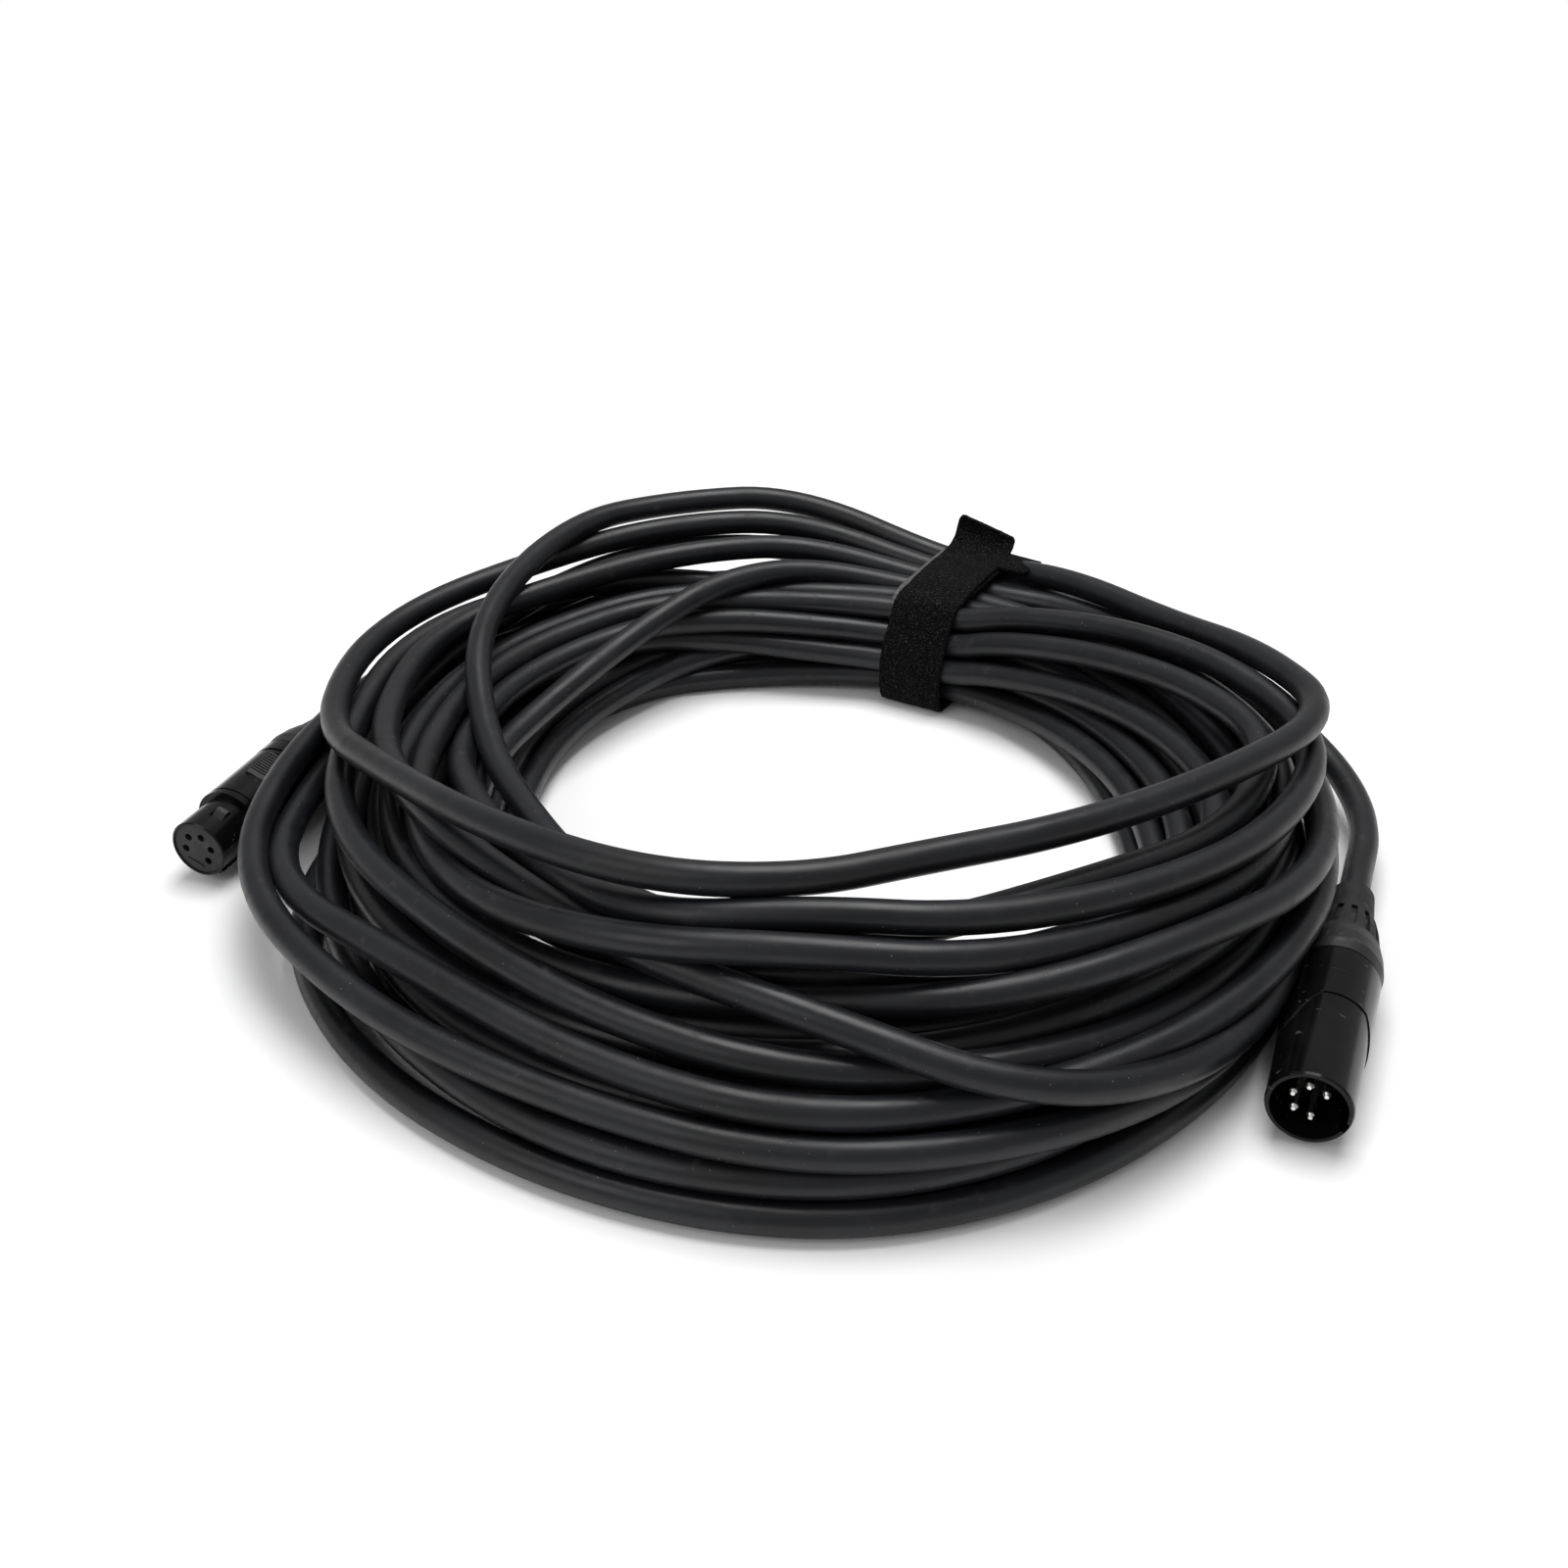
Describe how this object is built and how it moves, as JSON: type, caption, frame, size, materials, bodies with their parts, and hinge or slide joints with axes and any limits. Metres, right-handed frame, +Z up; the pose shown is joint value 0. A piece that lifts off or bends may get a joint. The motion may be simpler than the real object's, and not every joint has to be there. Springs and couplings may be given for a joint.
{
  "type": "coiled signal cable",
  "caption": "Coiled round signal cable with a pin plug at one end, a latching hole socket at the other and a hook-and-loop tie round the bundle.",
  "frame": {"origin": "centre of the connectors' and tie's footprint, on the floor that the coil lies on, inside the coil's hole", "axes": "+Z up; +X from the socket's side to the plug's side; +Y from the front of the coil, where the loops fan out, to the tie at the back"},
  "size_m": [0.3216, 0.2982, 0.0577],
  "materials": {
    "cable_jacket": "satin black soft jacket",
    "black_metal": "smooth gloss black over cast metal",
    "matt_plastic": "matt black moulding",
    "dark_plastic": "dark grey moulding",
    "boot_rubber": "matt black soft moulding",
    "silvered_contact": "silver plated",
    "spring_steel": "bright spring steel",
    "conductor": "coloured insulation over copper",
    "tie_fabric": "black hook-and-loop fabric"
  },
  "bodies": {
    "cable_set": {"cable_coil": "cable_jacket", "plug_cable_end": "cable_jacket", "plug_chuck": "dark_plastic", "plug_conductors": "conductor", "plug_ground_ring": "spring_steel", "plug_insert": "dark_plastic", "plug_pins": "silvered_contact", "plug_shell": "black_metal", "plug_tail": "cable_jacket", "socket_cable_end": "cable_jacket", "socket_chuck": "dark_plastic", "socket_conductors": "conductor", "socket_contacts": "silvered_contact", "socket_insert": "dark_plastic", "socket_latch_spring": "spring_steel", "socket_shell": "black_metal", "socket_tail": "cable_jacket", "tie_band": "tie_fabric", "tie_hook_tab": "tie_fabric"},
    "plug_boot": {"plug_boot": "boot_rubber"},
    "plug_bushing": {"plug_bushing": "matt_plastic"},
    "socket_boot": {"socket_boot": "boot_rubber"},
    "socket_bushing": {"socket_bushing": "matt_plastic"},
    "socket_latch": {"socket_latch": "matt_plastic"}
  },
  "joints": [
    {"name": "plug_boot_draw", "type": "slide", "parent": "cable_set", "child": "plug_boot", "axis": [0.3746, 0.9272, 0], "range_m": [0, 0.006]},
    {"name": "plug_bushing_unscrew", "type": "hinge", "parent": "plug_boot", "child": "plug_bushing", "pos_m": [0.13708, -0.07569, 0.0105], "axis": [0.3746, 0.9272, 0], "range_deg": [0, 2160]},
    {"name": "socket_boot_draw", "type": "slide", "parent": "cable_set", "child": "socket_boot", "axis": [0.3502, 0.9367, 0], "range_m": [0, 0.006]},
    {"name": "socket_bushing_unscrew", "type": "hinge", "parent": "socket_boot", "child": "socket_bushing", "pos_m": [-0.12917, 0.02019, 0.0105], "axis": [0.3502, 0.9367, 0], "range_deg": [0, 2160]},
    {"name": "socket_latch_press", "type": "hinge", "parent": "cable_set", "child": "socket_latch", "pos_m": [-0.13091, 0.00707, 0.01783], "axis": [0.8685, -0.3247, -0.3746], "range_deg": [0, 1.2], "stiffness_Nm_per_rad": 0.4, "springref_deg": -1.72}
  ],
  "couplings": [
    {"joint": "plug_boot_draw", "follows": "plug_bushing_unscrew", "m_per_rad": 0.000159},
    {"joint": "socket_boot_draw", "follows": "socket_bushing_unscrew", "m_per_rad": 0.000159}
  ]
}
